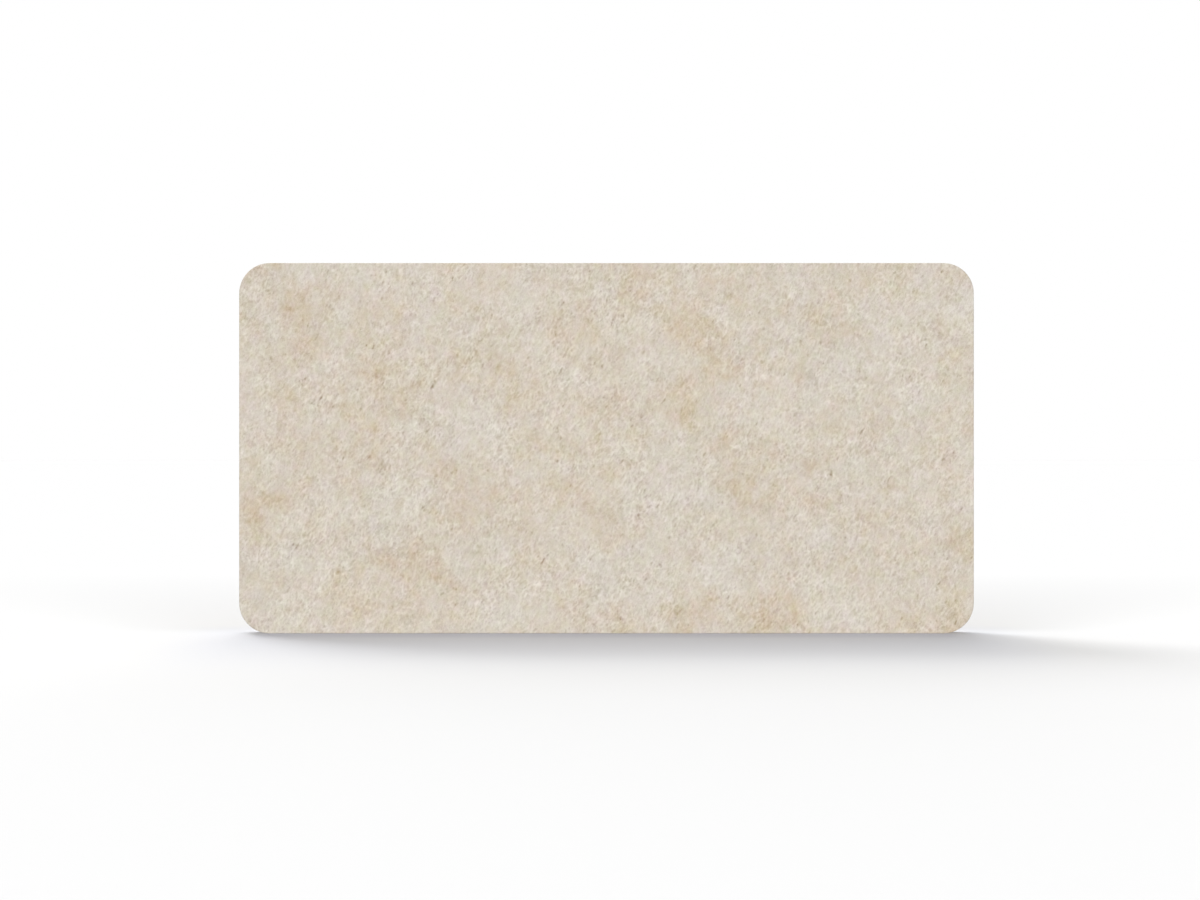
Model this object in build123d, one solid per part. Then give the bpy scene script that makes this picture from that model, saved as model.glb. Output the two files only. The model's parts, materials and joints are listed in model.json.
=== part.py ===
from build123d import *
import os

# A felt-covered acoustic divider screen that stands on its long lower edge.
# Millimetres. The origin is the middle of the footprint, on the floor.
# X runs along the screen, Y through its thickness with the front at -Y, and Z is up.

# Outside of the screen
screen_length = 1210.0
screen_height = 610.0
screen_depth = 40.0
corner_radius = 50.0

# Felt cover and padding
felt_thickness = 2.0
pad_thickness = 4.0  # foam on each face
arris_radius = 3.0  # felt rolled over the edge of the foam
fleece_thickness = 3.0  # wrap round the rim of the frame
seam_groove = 0.6  # the felt draws in this far at a seam
turn_in_width = 9.0  # felt that is folded under the bottom rail
lay_clearance = 0.2  # between curved layers

# Timber frame
member_width = 60.0
upright_width = 40.0
upright_count = 2
layer_count = 3  # layers in each corner's bridle joint: cheek, tongue, cheek
tenon_width = 28.0
tenon_thickness = 10.0
tenon_length = 28.0
mortise_end_clearance = 2.0
corner_dowel_radius = 4.0
joint_clearance = 0.05  # between a dowel or insert and its hole
infill_clearance = 0.5

# Staples that hold the turned-in felt
staple_pitch = 70.0
staple_crown = 10.0
staple_wire_thickness = 0.6
staple_wire_width = 1.2
staple_leg = 8.0  # driven into the rail
staple_margin = 2.0

# Levelling glides, one near each end
glide_inset = 105.0  # from the end of the screen
glide_pad_radius = 8.0
glide_pad_chamfer = 0.6
glide_pad_hole_clearance = 0.5
glide_seat_gap = 0.3  # between the pad and its insert when wound in
glide_sole = 1.2  # pad material under the stem's disc
glide_key_hole_radius = 2.6
swivel_disc_radius = 5.5
swivel_disc_thickness = 1.4
swivel_neck_radius = 3.0
swivel_clearance = 0.08
stem_radius = 3.95
stem_top = 40.0
thread_clearance = 0.05
key_across_flats = 4.0
key_depth = 3.5
glide_insert_radius = 6.0
glide_insert_length = 20.0
glide_flange_radius = 8.0
glide_flange_thickness = 1.5
stem_room = 2.0  # air past the stem's end in the rail

# Threaded inserts for a pair of feet or desk brackets
bracket_inset = 205.0  # from the end of the screen to the pair's middle
bracket_spacing = 64.0
bracket_thread_radius = 2.5
bracket_insert_radius = 4.5
bracket_insert_length = 15.0
bracket_screw_room = 10.0  # depth past the insert
bracket_screw_clearance = 1.0  # round the screw in felt and rail

hidden_sides = 12  # dowels and inserts inside the timber are drawn with flat sides
overrun = 1.0  # cuts reach this far past what they cut

# Planes that the layers share
face_y = screen_depth / 2
pad_y = face_y - felt_thickness
core_y = pad_y - pad_thickness
strip_y = core_y - felt_thickness
rim_build = felt_thickness + fleece_thickness
straight_half = screen_length / 2 - corner_radius
frame_length = screen_length - 2 * rim_build
frame_height = screen_height - 2 * rim_build
frame_low = rim_build
frame_high = rim_build + frame_height
frame_half = frame_length / 2
bay_low = frame_low + member_width
bay_high = frame_high - member_width
tack_top = rim_build - felt_thickness

glide_xs = [side * (screen_length / 2 - glide_inset) for side in (-1, 1)]
bracket_xs = [
    side * (screen_length / 2 - bracket_inset) + offset * bracket_spacing / 2
    for side in (-1, 1)
    for offset in (-1, 1)
]
glide_hole_radius = glide_pad_radius + glide_pad_hole_clearance
bracket_hole_radius = bracket_thread_radius + bracket_screw_clearance


def block(x, y, z):
    """A box between a low and a high bound on each axis."""
    corner = Pos(min(x), min(y), min(z))
    sides = [max(span) - min(span) for span in (x, y, z)]
    return corner * Box(*sides, align=(Align.MIN, Align.MIN, Align.MIN))


def slab(inset, near, far):
    """The screen's rounded outline, drawn in by inset all round, from y = near to y = far."""
    length = screen_length - 2 * inset
    height = screen_height - 2 * inset
    front = Plane(origin=(0, near, screen_height / 2), x_dir=(1, 0, 0), z_dir=(0, -1, 0))
    outline = front * RectangleRounded(length, height, corner_radius - inset)
    return extrude(outline, amount=near - far)


def rod(radius, x, low, high, y=0):
    """An upright cylinder."""
    return Pos(x, y, low) * Cylinder(
        radius, high - low, align=(Align.CENTER, Align.CENTER, Align.MIN)
    )


def hidden_rod(radius, x, low, high):
    """An upright rod with flat sides, for what is buried in the rail."""
    return extrude(Pos(x, 0, low) * RegularPolygon(radius, hidden_sides), amount=high - low)


def cross_pin(radius, x, z):
    """A rod with flat sides through the frame's thickness."""
    front = Plane(origin=(x, -core_y, z), x_dir=(1, 0, 0), z_dir=(0, -1, 0))
    return extrude(front * RegularPolygon(radius, hidden_sides), amount=-2 * core_y)


def face_edges(solid, y):
    """The outline edges of the flat face that lies at this y."""
    flat = [f for f in solid.faces().filter_by(Axis.Y) if abs(f.center().Y - y) < lay_clearance]
    return flat[0].edges()


# Felt cover


def turned_in_edge():
    """The front felt's lower edge: it passes under the padding, steps up and lies on the rail."""
    length = (-straight_half, straight_half)
    step = block(length, (-core_y, -strip_y), (0, rim_build))
    step += block(length, (-core_y - seam_groove, -core_y), (0, felt_thickness))
    flap_end = -core_y + turn_in_width
    return step + block(length, (-strip_y, flap_end), (tack_top, rim_build))


def front_felt_cover():
    """A shallow felt tray over the front padding, with a rolled arris and a seam lip."""
    outside = slab(0, -face_y, -core_y)
    outside = fillet(face_edges(outside, -face_y), arris_radius)
    outside = chamfer(face_edges(outside, -core_y), seam_groove)
    inside = slab(felt_thickness, -pad_y, -core_y + overrun)
    cover = outside - inside + turned_in_edge()
    return cover - [rod(glide_hole_radius, x, -overrun, rim_build + overrun) for x in glide_xs]


def lower_run(low, high):
    """The straight stretch along the bottom, where the rim layers are left open."""
    return block(
        (-straight_half, straight_half), (-core_y - overrun, core_y + overrun), (low, high)
    )


def rim_band():
    """The felt band up one end, over the top and down the other end, seamed to both covers."""
    outside = slab(0, -core_y, core_y)
    outside = chamfer(face_edges(outside, -core_y), seam_groove)
    outside = chamfer(face_edges(outside, core_y), seam_groove)
    ring = outside - slab(felt_thickness, -core_y - overrun, core_y + overrun)
    return ring - lower_run(-overrun, rim_build)


def closing_felt_strip():
    """The strip that hides the staples, with holes for the glides and the bracket screws."""
    strip = block((-straight_half, straight_half), (-strip_y, strip_y), (0, felt_thickness))
    top = felt_thickness + overrun
    strip -= [rod(glide_hole_radius, x, -overrun, top) for x in glide_xs]
    return strip - [rod(bracket_hole_radius, x, -overrun, top) for x in bracket_xs]


# Padding


def front_foam_pad():
    """The thin foam sheet between the felt and the frame."""
    return slab(felt_thickness + lay_clearance, -pad_y, -core_y)


def rim_fleece():
    """The fleece wrap between the frame's rim and the felt band."""
    outside = slab(felt_thickness + lay_clearance, -core_y, core_y)
    ring = outside - slab(rim_build - lay_clearance, -core_y - overrun, core_y + overrun)
    return ring - lower_run(-overrun, rim_build + overrun)


# Frame


def corner_spots():
    """The middle of each corner joint, as x and z."""
    reach = frame_half - member_width / 2
    heights = (frame_low + member_width / 2, frame_high - member_width / 2)
    return [(side * reach, z) for side in (-1, 1) for z in heights]


def joint_layers(first):
    """Every other layer of the bridle joints, as low and high y."""
    layer = 2 * core_y / layer_count
    return [
        (-core_y + i * layer, -core_y + (i + 1) * layer) for i in range(first, layer_count, 2)
    ]


def bridle_cuts(layers):
    """What a member gives up to its neighbours in all four corners, in the given layers."""
    half = member_width / 2
    return [
        block((x - half, x + half), layer, (z - half, z + half))
        for x, z in corner_spots()
        for layer in layers
    ]


def corner_dowel_holes():
    radius = corner_dowel_radius + joint_clearance
    return [cross_pin(radius, x, z) for x, z in corner_spots()]


def frame_member(x, z, layers):
    """A rail or stile with its tongues or cheeks, cut to the frame's rounded outline."""
    member = block(x, (-core_y, core_y), z)
    member -= bridle_cuts(layers)
    member -= corner_dowel_holes()
    return member & slab(rim_build, -core_y, core_y)


def upright_xs():
    """The uprights' middles, which leave bays of equal width."""
    clear = frame_length - 2 * member_width - upright_count * upright_width
    bay = clear / (upright_count + 1)
    first = -frame_half + member_width + bay + upright_width / 2
    return [first + i * (bay + upright_width) for i in range(upright_count)]


def mortises(inner, outward):
    """Slots in a rail for the tenons, from its inner edge outward."""
    end = inner + outward * (tenon_length + mortise_end_clearance)
    half_width = tenon_width / 2
    half_thickness = tenon_thickness / 2
    return [
        block((x - half_width, x + half_width), (-half_thickness, half_thickness), (inner, end))
        for x in upright_xs()
    ]


def top_rail():
    rail = frame_member((-frame_half, frame_half), (bay_high, frame_high), joint_layers(0))
    return rail - mortises(bay_high, 1)


def bottom_rail():
    """The rail that carries the glides and brackets, stapled along its underside."""
    rail = frame_member((-frame_half, frame_half), (frame_low, bay_low), joint_layers(0))
    rail -= mortises(bay_low, -1)
    rail -= [glide_pocket(x) for x in glide_xs]
    return rail - [bracket_pocket(x) for x in bracket_xs]


def stile(side):
    outer = side * frame_half
    inner = side * (frame_half - member_width)
    return frame_member((outer, inner), (frame_low, frame_high), joint_layers(1))


def upright(x):
    """An inner post with a stub tenon at each end."""
    half = upright_width / 2
    post = block((x - half, x + half), (-core_y, core_y), (bay_low, bay_high))
    half_width = tenon_width / 2
    half_thickness = tenon_thickness / 2
    return post + block(
        (x - half_width, x + half_width),
        (-half_thickness, half_thickness),
        (bay_low - tenon_length, bay_high + tenon_length),
    )


def infill_slab(left, right):
    """One slab of acoustic wool, a little smaller than its bay."""
    return block(
        (left + infill_clearance, right - infill_clearance),
        (-core_y, core_y),
        (bay_low + infill_clearance, bay_high - infill_clearance),
    )


def bays():
    """Left and right bounds of the frame's bays."""
    half = upright_width / 2
    edges = [-frame_half + member_width]
    for x in upright_xs():
        edges += [x - half, x + half]
    edges.append(frame_half - member_width)
    return list(zip(edges[::2], edges[1::2]))


# Staples and tack strips


def staple_places():
    """Where the staples go along the rail, clear of the glides and bracket screws."""
    count = int((2 * straight_half - staple_crown) // staple_pitch)
    start = -count * staple_pitch / 2
    room = staple_crown / 2 + staple_margin
    fixings = [(x, glide_flange_radius) for x in glide_xs]
    fixings += [(x, bracket_insert_radius) for x in bracket_xs]
    spots = [start + i * staple_pitch for i in range(count + 1)]
    return [x for x in spots if all(abs(x - at) > radius + room for at, radius in fixings)]


def staple(x, y):
    """A flat-wire staple, its crown in the tack strip and its legs in the rail."""
    half = staple_crown / 2
    width = (y - staple_wire_width / 2, y + staple_wire_width / 2)
    crown_top = felt_thickness + staple_wire_thickness
    wire = block((x - half, x + half), width, (felt_thickness, crown_top))
    for side in (-1, 1):
        leg = (x + side * half, x + side * (half - staple_wire_thickness))
        wire += block(leg, width, (felt_thickness, rim_build + staple_leg))
    return wire


def staple_group():
    middle = core_y - turn_in_width / 2 - felt_thickness / 2
    return [staple(x, side * middle) for side in (-1, 1) for x in staple_places()]


def tack_strip(side):
    """A card strip that spreads the staples' grip on the felt."""
    strip = block(
        (-straight_half, straight_half),
        (side * (core_y - turn_in_width), side * strip_y),
        (felt_thickness, tack_top),
    )
    return strip - [rod(glide_hole_radius, x, 0, rim_build) for x in glide_xs]


# Glides and inserts


def glide_pocket(x):
    """The hole in the rail for one glide's insert and stem."""
    flange_top = rim_build + glide_flange_thickness
    flange_radius = glide_flange_radius + joint_clearance
    pocket = hidden_rod(flange_radius, x, rim_build - overrun, flange_top)
    hole_radius = glide_insert_radius + joint_clearance
    return pocket + hidden_rod(hole_radius, x, rim_build, stem_top + stem_room)


def glide_insert(x):
    """A flanged threaded insert, flush with the underside of the rail."""
    flange_top = rim_build + glide_flange_thickness
    insert_top = rim_build + glide_insert_length
    sleeve = hidden_rod(glide_insert_radius, x, rim_build, insert_top)
    sleeve += hidden_rod(glide_flange_radius, x, rim_build, flange_top)
    return sleeve - rod(stem_radius + thread_clearance, x, 0, insert_top + overrun)


def pad_height():
    return rim_build - glide_seat_gap


def disc_low():
    return glide_sole + swivel_clearance


def disc_high():
    return disc_low() + swivel_disc_thickness


def glide_foot(x):
    """A round pad that snaps over the stem's disc and stays still while the stem turns."""
    pad = rod(glide_pad_radius, x, 0, pad_height())
    pad = chamfer(pad.edges().sort_by(Axis.Z)[0], glide_pad_chamfer)
    pad -= rod(
        swivel_disc_radius + swivel_clearance, x, glide_sole, disc_high() + swivel_clearance
    )
    pad -= rod(swivel_neck_radius + swivel_clearance, x, glide_sole, pad_height() + overrun)
    return pad - rod(glide_key_hole_radius, x, -overrun, glide_sole + overrun)


def glide_stem(x):
    """The threaded stem, with a disc in the pad and a hexagon socket for the key."""
    shank_low = pad_height() + swivel_clearance
    stem = rod(stem_radius, x, shank_low, stem_top)
    stem += rod(swivel_neck_radius, x, disc_low(), shank_low)
    stem += rod(swivel_disc_radius, x, disc_low(), disc_high())
    hexagon = RegularPolygon(key_across_flats / 2, 6, major_radius=False)
    socket = extrude(Pos(x, 0, disc_low() - overrun) * hexagon, amount=key_depth + overrun)
    return stem - socket


def bracket_pocket(x):
    """The hole in the rail for one bracket insert and its screw."""
    hole_top = rim_build + bracket_insert_length + bracket_screw_room
    return hidden_rod(bracket_insert_radius + joint_clearance, x, rim_build - overrun, hole_top)


def bracket_insert(x):
    """A plain sleeve insert for a machine screw, flush with the underside of the rail."""
    insert_top = rim_build + bracket_insert_length
    sleeve = hidden_rod(bracket_insert_radius, x, rim_build, insert_top)
    return sleeve - rod(bracket_thread_radius, x, 0, insert_top + overrun)


def collect():
    """Every sub-part by name."""
    front_felt = front_felt_cover()
    foam = front_foam_pad()
    posts = upright_xs()
    slabs = [infill_slab(left, right) for left, right in bays()]
    nodes = {
        "front_felt": front_felt,
        "back_felt": mirror(front_felt, about=Plane.XZ),
        "rim_felt_band": rim_band(),
        "closing_felt_strip": closing_felt_strip(),
        "front_foam_pad": foam,
        "back_foam_pad": mirror(foam, about=Plane.XZ),
        "rim_fleece": rim_fleece(),
        "top_rail": top_rail(),
        "bottom_rail": bottom_rail(),
        "left_stile": stile(-1),
        "right_stile": stile(1),
        "left_upright": upright(posts[0]),
        "right_upright": upright(posts[-1]),
        "left_infill": slabs[0],
        "centre_infill": slabs[len(slabs) // 2],
        "right_infill": slabs[-1],
        "corner_dowels": Compound([cross_pin(corner_dowel_radius, x, z) for x, z in corner_spots()]),
        "front_tack_strip": tack_strip(-1),
        "back_tack_strip": tack_strip(1),
        "staples": Compound(staple_group()),
        "bracket_inserts": Compound([bracket_insert(x) for x in bracket_xs]),
    }
    for side, x in zip(("left", "right"), glide_xs):
        nodes[side + "_glide_insert"] = glide_insert(x)
        nodes[side + "_glide_foot"] = glide_foot(x)
        nodes[side + "_glide_stem"] = glide_stem(x)
    return nodes


os.makedirs("parts", exist_ok=True)
for name, shape in collect().items():
    export_step(shape, f"parts/{name}.step")
    print(name, len(shape.solids()), "solids", round(shape.volume), "mm3")
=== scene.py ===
# %% [markdown]
# # An acoustic divider screen in felt
#
# The screen is a timber frame filled with acoustic wool, padded with thin foam, and upholstered in a
# needled felt of recycled fibre. It stands on its long lower edge. The CAD part already holds every
# piece in its right place and size, so this script only dresses it: it replaces the soft solids with
# cloth, foam and wool made as meshes, and gives the rigid pieces their wood and metal.
#
# Everything is in metres, with the floor at z = 0 and the photographed face looking along -Y.

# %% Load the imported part
import json
import math

import bmesh
import bpy
import numpy as np
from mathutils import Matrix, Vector, noise


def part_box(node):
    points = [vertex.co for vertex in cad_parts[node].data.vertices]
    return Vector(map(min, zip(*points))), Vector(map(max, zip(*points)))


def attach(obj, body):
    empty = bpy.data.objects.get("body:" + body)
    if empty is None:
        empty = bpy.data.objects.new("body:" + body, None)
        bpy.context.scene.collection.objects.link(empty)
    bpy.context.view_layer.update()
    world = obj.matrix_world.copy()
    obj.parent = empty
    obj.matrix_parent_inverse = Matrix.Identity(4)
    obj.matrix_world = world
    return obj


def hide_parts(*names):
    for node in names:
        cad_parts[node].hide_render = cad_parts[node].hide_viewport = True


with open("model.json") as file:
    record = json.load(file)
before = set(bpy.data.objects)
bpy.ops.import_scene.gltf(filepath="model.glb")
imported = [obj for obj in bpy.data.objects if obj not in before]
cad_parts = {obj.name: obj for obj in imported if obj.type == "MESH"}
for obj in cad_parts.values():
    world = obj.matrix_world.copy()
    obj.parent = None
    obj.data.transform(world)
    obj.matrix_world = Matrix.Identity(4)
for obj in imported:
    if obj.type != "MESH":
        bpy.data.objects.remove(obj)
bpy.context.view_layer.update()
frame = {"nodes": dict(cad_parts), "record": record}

# %% [markdown]
# ## Sizes that the dressing shares
#
# The outer faces come from the boxes of the CAD nodes, so the cloth follows the part if it is resized.
# Only what a box can't tell is written here: the radii of the corners and of the felt's own bends.

# %% Read the screen's own sizes
MM = 0.001
corner_radius = 50 * MM
arris = 3 * MM  # the felt rolls over the foam's edge with this radius
seam_roll = 0.9 * MM  # and into each seam with this one
slack = 0.05 * MM  # air between two layers that meet
weld = 0.001 * MM  # points closer than this are one

half_length, seam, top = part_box("rim_felt_band")[1]
_, strip_edge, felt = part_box("closing_felt_strip")[1]
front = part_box("front_felt")[0].y
straight = half_length - corner_radius
print("screen", round(2 * half_length, 3), "x", round(top, 3), "x", round(-2 * front, 3))

# %% [markdown]
# ## The camera
#
# The photograph looks straight at the face with level verticals. Its horizon lies at half the height of
# the picture, 0.302 m above the floor, and the panel spans 735 of the 1200 pixels. The sliver of floor
# under the rounded corners sets the distance: about 3.6 m with a 65 mm lens.

# %% Place the camera
picture_width = 1200
distance = 3.566
eye_height = 0.302
sideways = -10.7 * MM  # so the panel stands a little to the right of the middle


def placed(name, data):
    """A new object for its data, linked to the scene."""
    thing = bpy.data.objects.new(name, data)
    bpy.context.scene.collection.objects.link(thing)
    return thing


camera = placed("camera", bpy.data.cameras.new("camera"))
camera.data.lens = 65
camera.data.sensor_width = 36
camera.data.clip_end = 200
camera.location = (sideways, front - distance, eye_height)
camera.rotation_euler = (math.radians(90), 0, 0)
bpy.context.scene.camera = camera
per_metre = camera.data.lens / camera.data.sensor_width * picture_width / distance
print("pixels per metre at the face", round(per_metre, 1))

# %% [markdown]
# ## A short way to write nodes
#
# Materials and Geometry Nodes are both trees of nodes. `Wire` stands for one output socket: adding or
# multiplying wires adds the Math nodes that do it. `Wire.add` makes any other node from its type, its
# settings and what goes into its sockets.


# %% Wrap sockets so that node maths reads like Python
class Wire:
    """One output socket of a node tree."""

    def __init__(self, tree, socket=None):
        self.tree = tree
        self.socket = socket

    def add(self, kind, settings=None, sockets=None, out=0):
        """A new node in the same tree: its settings first, then its sockets, then one output."""
        node = self.tree.nodes.new(kind)
        for name, value in (settings or {}).items():
            setattr(node, name, value)
        for name, value in (sockets or {}).items():
            for one in value if isinstance(value, list) else [value]:
                if isinstance(one, Wire):
                    self.tree.links.new(one.socket, node.inputs[name])
                else:
                    node.inputs[name].default_value = one
        return Wire(self.tree, node.outputs[out])

    def output(self, name):
        """Another output of the node that this wire comes from."""
        return Wire(self.tree, self.socket.node.outputs[name])

    def maths(self, operation, *values):
        return self.add("ShaderNodeMath", {"operation": operation}, dict(enumerate(values)))

    def vector(self, operation, *values):
        return self.add("ShaderNodeVectorMath", {"operation": operation}, dict(enumerate(values)))

    def scaled(self, size):
        """This vector times a number or a wire."""
        return self.add("ShaderNodeVectorMath", {"operation": "SCALE"}, {0: self, "Scale": size})

    def __add__(self, other):
        return self.maths("ADD", self, other)

    def __sub__(self, other):
        return self.maths("SUBTRACT", self, other)

    def __rsub__(self, other):
        return self.maths("SUBTRACT", other, self)

    def __mul__(self, other):
        return self.maths("MULTIPLY", self, other)

    __radd__ = __add__
    __rmul__ = __mul__

    def step(self, low, high):
        """0 below low, 1 above high, and a smooth rise between them."""
        sockets = {"Value": self, "From Min": low, "From Max": high}
        return self.add("ShaderNodeMapRange", {"interpolation_type": "SMOOTHSTEP"}, sockets)

    def mix(self, first, second):
        """The first colour where this is 0, and the second where it is 1."""
        sockets = {"Factor": self, 6: first, 7: second}
        return self.add("ShaderNodeMix", {"data_type": "RGBA"}, sockets, out=2)

    def noise(self, scale, detail=2.0, rough=0.5, seed=0.0):
        """Noise about a mean of 0, mostly within -1 and 1. Its features are 1 / scale wide."""
        sockets = {"Vector": self, "W": seed, "Scale": scale, "Detail": detail, "Roughness": rough}
        value = self.add("ShaderNodeTexNoise", {"noise_dimensions": "4D"}, sockets)
        return value * 4 - 2


def new_material(name, **constants):
    """A material, its shader with the constants set, and a wire of the object's coordinates."""
    material = bpy.data.materials.new(name)
    material.use_nodes = True
    shader = material.node_tree.nodes["Principled BSDF"]
    for socket, value in constants.items():
        shader.inputs[socket.replace("_", " ")].default_value = value
    return material, shader, Wire(material.node_tree).add("ShaderNodeTexCoord", out="Object")


def plug(shader, colour, height=None, depth=0.0, rough=None):
    """Feeds a shader's colour, and its bump and roughness if given. The depth is in metres."""
    tree = colour.tree
    tree.links.new(colour.socket, shader.inputs["Base Color"])
    if rough:
        tree.links.new(rough.socket, shader.inputs["Roughness"])
    if height:
        bump = colour.add("ShaderNodeBump", {}, {"Height": height, "Distance": depth})
        tree.links.new(bump.socket, shader.inputs["Normal"])


print("node helpers ready")

# %% [markdown]
# ## Needled felt
#
# The cloth is a mat of short recycled fibres, most of them undyed. Close to, it shows a curly grain of
# tufts a few millimetres wide that lean to the right, dark pits between them, and fine hairs. Its colour
# carries painted light on the tufts and painted shade in the pits, over the fibres' own tone. All of
# these could be painted or photographed, but each is one scale of noise, and noise has no seam and no
# edge. Three steps shape it. Slow noise bends the coordinates, so what is drawn on them curls. Turning
# and stretching them makes the grain lean. And a crease, the line where a noise changes sign, reads as
# a tuft when it is broad and as a hair when it is thin.


# %% Bend, lean and crease a noise
def bent(here, seed, reach):
    """Coordinates pushed about by slow noise, so that whatever is drawn on them curls."""
    sockets = {"Vector": here, "W": seed, "Scale": 60.0, "Detail": 1.0}
    swing = here.add("ShaderNodeTexNoise", {"noise_dimensions": "4D"}, sockets, out="Color")
    return here.vector("ADD", here, here.vector("SUBTRACT", swing, (0.5, 0.5, 0.5)).scaled(reach))


def leaned(here, angle, along, across):
    """Coordinates turned about Y, then scaled so that noise is longer along the lean than across."""
    sockets = {"Vector": here, "Rotation": (0, math.radians(angle), 0)}
    turned = here.add("ShaderNodeMapping", {"vector_type": "POINT"}, sockets)
    return here.vector("MULTIPLY", turned, (along, across, across))


def creases(here, seed, sharp):
    """1 where a noise changes sign, falling to 0 beside it: thin curled lines."""
    away = here.maths("ABSOLUTE", here.noise(1.0, 0.0, 0.5, seed)) * sharp
    return here.maths("MAXIMUM", 1 - away, 0.0)


tuft_bend = 14 * MM
hair_bend = 6 * MM


def felt_grain(here, loose):
    """The painted light of tufts and painted shade of pits, what hairs and nap add, and the surface's
    height.
    """
    curled = bent(here, 1.3, tuft_bend)
    tufts = creases(leaned(curled, 58.0, 55.0, 110.0), 1.3, 2.8)
    curled = bent(here, 5.9, tuft_bend)
    tufts = tufts + creases(leaned(curled, 86.0, 53.0, 106.0), 5.9, 2.8)
    fine = leaned(loose, 61.0, 148.0, 258.0).noise(1.0, 1.0, 0.5, 8.2)
    curled = bent(here, 2.7, hair_bend)
    pits = leaned(curled, 60.0, 92.0, 172.0).noise(1.0, 1.0, 0.5, 2.7).step(0.5, 1.25)
    hairs = nap = 0
    for angle, seed in ((25.0, 3.1), (85.0, 4.2), (140.0, 5.3)):
        hairs = hairs + creases(leaned(loose, angle, 155.0, 950.0), seed, 4.0)
        nap = nap + creases(leaned(loose, angle + 27.0, 320.0, 1900.0), seed + 3.0, 4.0)
    # painted light on the tufts and painted shade in the pits, as a change of colour over the felt's fine
    # grain
    grain_light_and_shade = tufts * 0.087 + fine * 0.13 - pits * 0.25 - 0.024
    thin = hairs * 0.07 + (nap - 0.5) * 0.12
    height = (tufts + fine - pits) * 0.5 + (hairs + nap) * 0.15
    return grain_light_and_shade, thin, height


print("noise helpers ready")

# %% [markdown]
# From a few steps away the grain melts into blotches, and what shows is how they drift. The tufts are
# stronger in some places than in others, clumps a few centimetres wide are lighter or darker, and
# patches as wide as a hand turn tan where they are darker. A finer drift, between olive and pinkish
# grey, changes hardly anything but the hue. All of them are drawn a little taller than they are wide.
# Each drift adds its own share of red, green and blue, and brown fibres make the specks.

# %% Mix the felt's colour
undyed = (0.651, 0.575, 0.475)
lighter = (0.583, 0.596, 0.585)
tanner = (-0.040, -0.082, -0.122)
pinker = (0.023, -0.006, 0.041)
brown_fibre = (0.34, 0.26, 0.16, 1)
felt_relief = 0.25 * MM


def felt_look(name, **constants):
    """Mottled needled felt."""
    material, shader, here = new_material(name, **constants)
    loose = bent(here, 8.2, hair_bend)
    grain_light_and_shade, thin, height = felt_grain(here, loose)
    tall = here.vector("MULTIPLY", here, (1.03, 1.0, 0.96))
    strength = tall.noise(24.0, 2.0, 0.5, 11.0).step(-1.0, 0.9) * 0.9 + 0.6
    clumps = tall.noise(38.0, 1.0, 0.5, 14.0)
    # the grain's painted light and shade, added to the felt's own lighter and darker clumps
    light = grain_light_and_shade * strength + thin + tall.noise(6.0, 4.0, 0.9, 13.0) * 0.075
    light = light + clumps * 0.052 - clumps * clumps * 0.02
    light = light - light * light * 0.3
    slow = tall.noise(8.4, 3.4, 0.95, 6.0)
    tan = slow * slow * 0.5 + slow - 0.06
    hue = tall.noise(45.0, 4.0, 0.75, 7.7)
    ground = undyed
    for amount, shift in ((light, lighter), (tan, tanner), (hue, pinker)):
        ground = here.vector("MULTIPLY_ADD", amount, shift, ground)
    smudge = here.noise(50.0, 1.0, 0.5, 9.4).step(0.95, 1.3) * 0.25
    speck = leaned(loose, 66.0, 180.0, 260.0).noise(1.0, 0.0, 0.5, 4.9).step(1.05, 1.35) * 0.27
    plug(shader, (smudge + speck).mix(ground, brown_fibre), height, felt_relief)
    return material


felt_cloth = felt_look(
    "beige_felt", Roughness=0.95, Sheen_Weight=0.12, Sheen_Roughness=0.6, Specular_IOR_Level=0.15
)
print("felt nodes", len(felt_cloth.node_tree.nodes))

# %% [markdown]
# ## Pieces that follow the rounded outline
#
# The covers and the foam all follow one rounded rectangle. Their meshes are made as closed rings, one
# for each point of a section through the edge, with a plain grid inside the innermost ring. That keeps
# the arris and the seam crisp and gives the face even quads.


# %% Rings and grids of a rounded panel
def ring(inset, y, columns, rows, turns):
    """Points of the outline drawn in by an inset, anticlockwise as seen from the front."""
    radius = corner_radius - inset
    low, high = corner_radius, top - corner_radius
    xs = np.linspace(-straight, straight, columns + 1)
    zs = np.linspace(low, high, rows + 1)
    turn = np.linspace(0, math.pi / 2, turns + 1)[1:-1]
    points = [(x, low - radius) for x in xs]
    points += [(straight + radius * math.sin(t), low - radius * math.cos(t)) for t in turn]
    points += [(straight + radius, z) for z in zs]
    points += [(straight + radius * math.cos(t), high + radius * math.sin(t)) for t in turn]
    points += [(x, high + radius) for x in xs[::-1]]
    points += [(-straight - radius * math.sin(t), high + radius * math.cos(t)) for t in turn]
    points += [(-straight - radius, z) for z in zs[::-1]]
    points += [(-straight - radius * math.cos(t), low - radius * math.sin(t)) for t in turn]
    return [Vector((x, y, z)) for x, z in points]


def arc(inset, y, radius, start, stop, steps):
    """Points round a centre in the section, as (inset, y), between two angles in degrees."""
    turn = np.radians(np.linspace(start, stop, steps + 1))
    return [(inset + radius * math.cos(t), y + radius * math.sin(t)) for t in turn]


def add_mesh(name, mesh, material):
    """A smooth-shaded object for a mesh."""
    piece = placed(name, mesh)
    mesh.polygons.foreach_set("use_smooth", [True] * len(mesh.polygons))
    mesh.materials.clear()
    mesh.materials.append(material)
    return piece


def made(name, bm, material):
    """A smooth-shaded object for a bmesh, which is then freed."""
    mesh = bpy.data.meshes.new(name)
    bm.to_mesh(mesh)
    bm.free()
    return add_mesh(name, mesh, material)


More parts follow.
